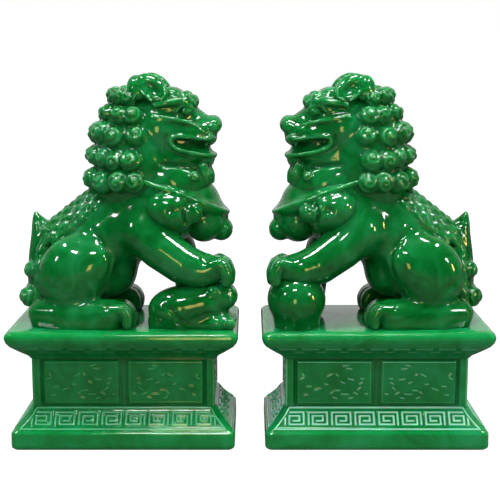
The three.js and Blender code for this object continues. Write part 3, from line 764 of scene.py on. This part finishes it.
def panels(offset, run, side, reach):
    """Two panels on the long side and one on the short: a flat pad in a narrow groove, covered with short
    soft nicks, with a bead along its top edge."""
    v = run - 10.1
    long = side % 2 == 0
    half_bay = np.where(long, 15.4, 14.6)
    shift = np.where(long, 17.4, 0.0)
    s = np.where(long, np.abs(offset) - shift, offset)
    edge = np.maximum(np.abs(s) - half_bay, abs(v) - 9.0)
    sunk = ridge(np.abs(edge - 0.7), 0.35, 0.6)
    marks = np.zeros_like(sunk)
    for x, y, tilt, size in PANEL_MARKS:
        stretch = (math.cos(tilt) * size / 2, math.sin(tilt) * size / 2)
        gap = near_line(s, np.full_like(s, v), [(x - stretch[0], y - stretch[1]), (x + stretch[0],
                                                                                   y + stretch[1])])
        marks = np.maximum(marks, ridge(gap, 0.10, 0.5))
    lift = 0.32 * marks * (edge < -1.4) - 0.7 * sunk - 0.25
    lift = lift + 0.10 * ridge(np.abs(edge + 0.5), 0.15, 0.3)
    lift = lift + 0.22 * ridge(np.abs(v - 8.6), 0.15, 0.3) * (edge < 0)
    divide = ridge(np.abs(offset), 0.5, 0.8) * long
    post = ridge(np.abs(reach - np.abs(offset) - 4.6), 0.25, 0.6) * (abs(v) < 9.4)
    return np.where(np.abs(offset) < 200, lift - 0.6 * divide - 0.5 * post, 0.0)


waist_profile = [(0.0, 17.5), (0.0, 18.1), (0.0, 37.1), (0.0, 37.7)]
waist_made = closed(*moulding(waist_profile, DADO_HALF, 1.2, (260, 140, 4), panels, 0.32, -0.22, 0.7))
for who, middle, facing in STATUES:
    plinth_piece(f"{who}_waist", who, waist_made, middle, facing, "plinth_waist")


def petals(offset, run, side, reach):
    """Lotus petals on the underside: two rows of flat tongues, the lower row between the upper ones."""
    bay = np.where(side % 2 == 0, 9.2, 9.4)
    flat = np.abs(offset) < reach - 4
    s = (offset + bay / 2) % bay - bay / 2
    upper = ridge(np.hypot(np.maximum(np.abs(s) - 3.0, 0), abs(run - 9.6)), 0.2, 0.5)
    s2 = offset % bay - bay / 2
    lower = ridge(np.hypot(np.maximum(np.abs(s2) - 1.6, 0), abs(run - 7.2)), 0.15, 0.5)
    return 0.4 * np.maximum(upper, 0.8 * lower) * flat


cornice_profile = [(0.0, 37.7), (1.3, 37.7), (1.7, 38.4), (2.6, 39.3), (4.3, 40.6), (6.6, 42.5),
                   (8.3, 44.0), (9.5, 45.8), (10.0, 47.5), (9.9, 48.7), (9.4, 49.6), (8.6, 50.2),
                   (7.6, 50.5), (6.6, 50.6)]
cornice_made = closed(*moulding(cornice_profile, (37.2, 17.9), 2.6, (330, 190, 6), petals, 0.4, 0.02, 1.2))
# The cornice takes the copy of the plinth resin that is painted lighter.
for who, middle, facing in STATUES:
    plinth_piece(f"{who}_cornice", who, cornice_made, middle, facing, "plinth_cornice", LIT_PLINTH_JADE)


# ---- Felt pad --------------------------------------------------------------------------------------------
# A sheet of dark green felt glued under each plinth, cut a little smaller than the foot.

FELT = bpy.data.materials.new("felt")
FELT.use_nodes = True
felt_nodes, felt_links = FELT.node_tree.nodes, FELT.node_tree.links
felt_bsdf = felt_nodes["Principled BSDF"]
felt_place = felt_nodes.new("ShaderNodeTexCoord")
felt_noise = felt_nodes.new("ShaderNodeTexNoise")
felt_noise.inputs["Scale"].default_value = 1500.0
felt_ramp = felt_nodes.new("ShaderNodeValToRGB")
felt_ramp.color_ramp.elements[0].color = (0.008, 0.03, 0.014, 1)
felt_ramp.color_ramp.elements[1].color = (0.02, 0.06, 0.03, 1)
felt_links.new(felt_place.outputs["Object"], felt_noise.inputs["Vector"])
felt_links.new(felt_noise.outputs["Fac"], felt_ramp.inputs["Fac"])
felt_links.new(felt_ramp.outputs["Color"], felt_bsdf.inputs["Base Color"])
felt_bsdf.inputs["Roughness"].default_value = 0.95
felt_bsdf.inputs["Sheen Weight"].default_value = 0.3

pad_profile = [(4.3, 0.0), (4.3, 0.8)]
pad_made = closed(*moulding(pad_profile, (37.2, 17.6), 2.4, (30, 18, 5),
                            lambda o, r, s, h: np.zeros_like(o), 0.4))
for who, middle, facing in STATUES:
    plinth_piece(f"{who}_pad", who, pad_made, middle, facing, "base_pad", FELT)


# ---- Floor, lights and camera ----------------------------------------------------------------------------

paper = bpy.data.materials.new("paper")
paper.use_nodes = True
paper_nodes, paper_links = paper.node_tree.nodes, paper.node_tree.links
paper_bsdf = paper_nodes["Principled BSDF"]
paper_bsdf.inputs["Base Color"].default_value = (0.10, 0.10, 0.10, 1)
paper_bsdf.inputs["Roughness"].default_value = 0.9
paper_glow = paper_nodes.new("ShaderNodeEmission")
paper_glow.inputs["Strength"].default_value = 1.02
paper_add = paper_nodes.new("ShaderNodeAddShader")
paper_mix = paper_nodes.new("ShaderNodeMixShader")
paper_path = paper_nodes.new("ShaderNodeLightPath")
paper_links.new(paper_bsdf.outputs[0], paper_add.inputs[0])
paper_links.new(paper_glow.outputs[0], paper_add.inputs[1])
paper_links.new(paper_path.outputs["Is Camera Ray"], paper_mix.inputs[0])
paper_links.new(paper_bsdf.outputs[0], paper_mix.inputs[1])
paper_links.new(paper_add.outputs[0], paper_mix.inputs[2])
paper_links.new(paper_mix.outputs[0], paper_nodes["Material Output"].inputs["Surface"])
bpy.ops.mesh.primitive_plane_add(size=6, location=(0, 1.5, 0))
floor = bpy.context.object
floor.name = "floor"
floor.data.materials.append(paper)

# The room: white behind the pair, dim in front of them
world = bpy.data.worlds.new("studio")
bpy.context.scene.world = world
world.use_nodes = True
room_nodes, room_links = world.node_tree.nodes, world.node_tree.links
room = room_nodes["Background"]
way = room_nodes.new("ShaderNodeTexCoord")
apart = room_nodes.new("ShaderNodeSeparateXYZ")
fade = room_nodes.new("ShaderNodeMapRange")
fade.inputs["From Min"].default_value = -0.1
fade.inputs["From Max"].default_value = 0.75
fade.inputs["To Min"].default_value = 0.02
fade.inputs["To Max"].default_value = 0.75
seen = room_nodes.new("ShaderNodeLightPath")
pick = room_nodes.new("ShaderNodeMath")
pick.operation = "MAXIMUM"
room_links.new(way.outputs["Generated"], apart.inputs[0])
room_links.new(apart.outputs["Y"], fade.inputs["Value"])
room_links.new(fade.outputs[0], pick.inputs[0])
room_links.new(seen.outputs["Is Camera Ray"], pick.inputs[1])
room_links.new(pick.outputs[0], room.inputs["Strength"])
room.inputs["Color"].default_value = (1, 1, 1, 1)


def lamp(name, size, energy, at, aim, colour=(1, 1, 1), mirrored=True):
    """A rectangular soft lamp at a place in mm, turned to face another. One that isn't mirrored lights the
    resin without showing in its gloss, as a lamp behind a polarising sheet does."""
    light = bpy.data.lights.new(name, "AREA")
    light.shape = "RECTANGLE"
    light.size, light.size_y = size[0] * MM, size[1] * MM
    light.energy = energy
    light.color = colour
    obj = bpy.data.objects.new(name, light)
    obj.location = Vector(at) * MM
    obj.rotation_euler = (Vector(aim) - Vector(at)).to_track_quat("-Z", "Y").to_euler()
    obj.visible_glossy = mirrored
    bpy.context.scene.collection.objects.link(obj)
    return obj


lamp("overhead", (260, 56), 2.9, (40, -100, 640), (0, 0, 80))
lamp("overhead_right", (150, 56), 1.8, (335, -110, 620), (-20, 0, 80))
lamp("overhead_left", (150, 56), 1.5, (-335, -110, 620), (20, 0, 80))
lamp("front_overhead", (140, 60), 1.6, (-60, -420, 520), (0, 0, 80))
lamp("left_window", (60, 90), 0.9, (-500, -400, 380), (0, 0, 80))
lamp("right_window", (50, 90), 0.8, (520, -360, 340), (0, 0, 80))
lamp("warm_card", (30, 120), 0.8, (560, -250, 170), (50, 0, 70), (1.0, 0.66, 0.2))
lamp("warm_low_card", (76, 130), 0.30, (-40, -480, 75), (40, 0, 80), (1.0, 0.74, 0.22))
lamp("front_fill", (900, 600), 3.5, (0, -750, 380), (0, 0, 70), mirrored=False)
lamp("top_fill", (700, 500), 1.3, (0, -80, 700), (0, 0, 70), mirrored=False)

SENSOR, LENS = 36.0, 81.36  # mm
TILT = 9.47  # degrees down
camera = bpy.data.objects.new("camera", bpy.data.cameras.new("camera"))
bpy.context.scene.collection.objects.link(camera)
camera.location = (0, -0.468, 0.1587)
camera.rotation_euler = (math.radians(90 - TILT), 0, 0)
camera.data.sensor_width = SENSOR
camera.data.lens = LENS
camera.data.clip_start = 0.01
bpy.context.scene.camera = camera
bpy.context.scene.view_settings.view_transform = "Standard"
